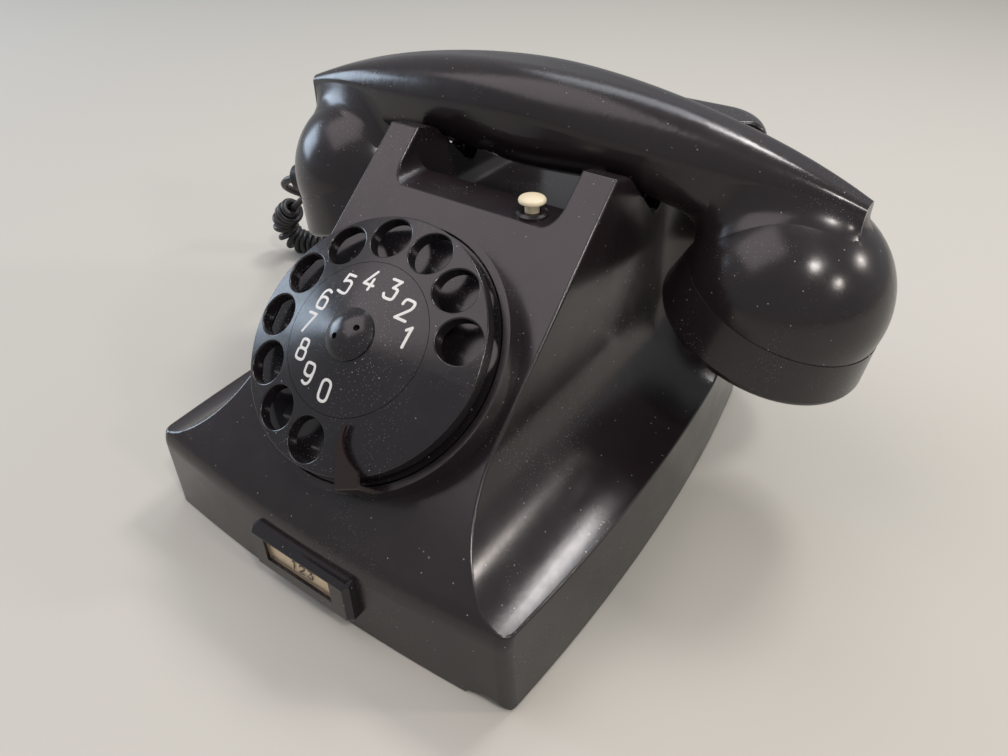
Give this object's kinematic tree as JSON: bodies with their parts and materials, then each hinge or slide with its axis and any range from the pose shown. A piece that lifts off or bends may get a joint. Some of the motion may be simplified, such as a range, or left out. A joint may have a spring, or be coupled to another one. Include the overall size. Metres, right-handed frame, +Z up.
{
  "type": "desk telephone",
  "caption": "Black moulded desk telephone with rotary dial, cradle, handset, curly cord, earth button and number card.",
  "frame": {"origin": "on the table, under the middle of the telephone's footprint", "axes": "+Z up, +X to the right along the handset, the dial faces -Y"},
  "size_m": [0.2985, 0.2249, 0.1315],
  "materials": {
    "bakelite": "moulded, semi-gloss, slightly worn",
    "dial_black": "smooth black",
    "number_face": "black with white digits",
    "label_black": "polished black",
    "card": "aged paper card",
    "clear_window": "clear",
    "cream_button": "aged cream",
    "stop_brown": "brown lacquer",
    "sheet_steel": "zinc plated",
    "steel": "turned",
    "brass": "dull",
    "foot_rubber": "matte",
    "cord_rubber": "smooth black",
    "gong_steel": "nickel plated",
    "copper_coil": "varnished winding",
    "dark_laminate": "laminated board",
    "aluminium_can": "plain"
  },
  "bodies": {
    "telephone": {"housing": "bakelite", "base_plate": "sheet_steel", "base_screws": "steel", "rubber_feet": "foot_rubber", "label_frame": "label_black", "label_card": "card", "label_window": "clear_window", "dial_case": "sheet_steel", "dial_plate": "dial_black", "finger_stop": "stop_brown", "button_collar": "bakelite", "button_contacts": "sheet_steel", "hook_switch": "dark_laminate", "gong_right": "gong_steel", "gong_left": "gong_steel", "gong_screws": "steel", "ringer_frame": "sheet_steel", "ringer_coils": "copper_coil", "induction_coil": "copper_coil", "capacitor": "aluminium_can", "terminal_block": "dark_laminate", "base_gland": "cord_rubber", "line_inlet": "cord_rubber", "handset_cord_lead": "cord_rubber", "handset_cord_curl": "cord_rubber", "handset_cord_tail": "cord_rubber"},
    "dial": {"finger_wheel": "dial_black", "number_disc": "number_face", "centre_nut": "dial_black", "dial_shaft": "steel", "dial_gear": "brass"},
    "pulse_spindle": {"pulse_pinion": "steel"},
    "earth_button": {"earth_button": "cream_button"},
    "cradle_switch": {"cradle_plungers": "bakelite", "switch_bar": "sheet_steel"},
    "handset": {"handset_shell": "bakelite", "ear_cap": "bakelite", "mouth_cap": "bakelite", "receiver_capsule": "aluminium_can", "transmitter_capsule": "aluminium_can", "handset_gland": "cord_rubber"},
    "clapper": {"clapper": "steel"}
  },
  "joints": [
    {"name": "dial_spin", "type": "hinge", "parent": "telephone", "child": "dial", "pos_m": [0, -0.05647, 0.07427], "axis": [0, -0.6504, 0.7596], "range_deg": [-330, 0], "stiffness_Nm_per_rad": 0.01, "springref_deg": 17.19},
    {"name": "pulse_spin", "type": "hinge", "parent": "telephone", "child": "pulse_spindle", "pos_m": [-0.02269, -0.04974, 0.05371], "axis": [0, -0.6504, 0.7596], "range_deg": [0, 990]},
    {"name": "earth_press", "type": "slide", "parent": "telephone", "child": "earth_button", "axis": [0, 0, -1], "range_m": [0, 0.0025], "stiffness_N_per_m": 300},
    {"name": "handset_lift", "type": "slide", "parent": "telephone", "child": "handset", "axis": [0, 0, 1], "range_m": [0, 0.1]},
    {"name": "cradle_rise", "type": "slide", "parent": "telephone", "child": "cradle_switch", "axis": [0, 0, 1], "range_m": [0, 0.004]},
    {"name": "clapper_swing", "type": "hinge", "parent": "telephone", "child": "clapper", "pos_m": [0, 0.027, 0.0112], "axis": [0, 0, 1], "range_deg": [-2.5, 2.5]}
  ],
  "couplings": [
    {"joint": "pulse_spin", "follows": "dial_spin", "ratio": -3},
    {"joint": "cradle_rise", "follows": "handset_lift", "ratio": 0.04}
  ]
}
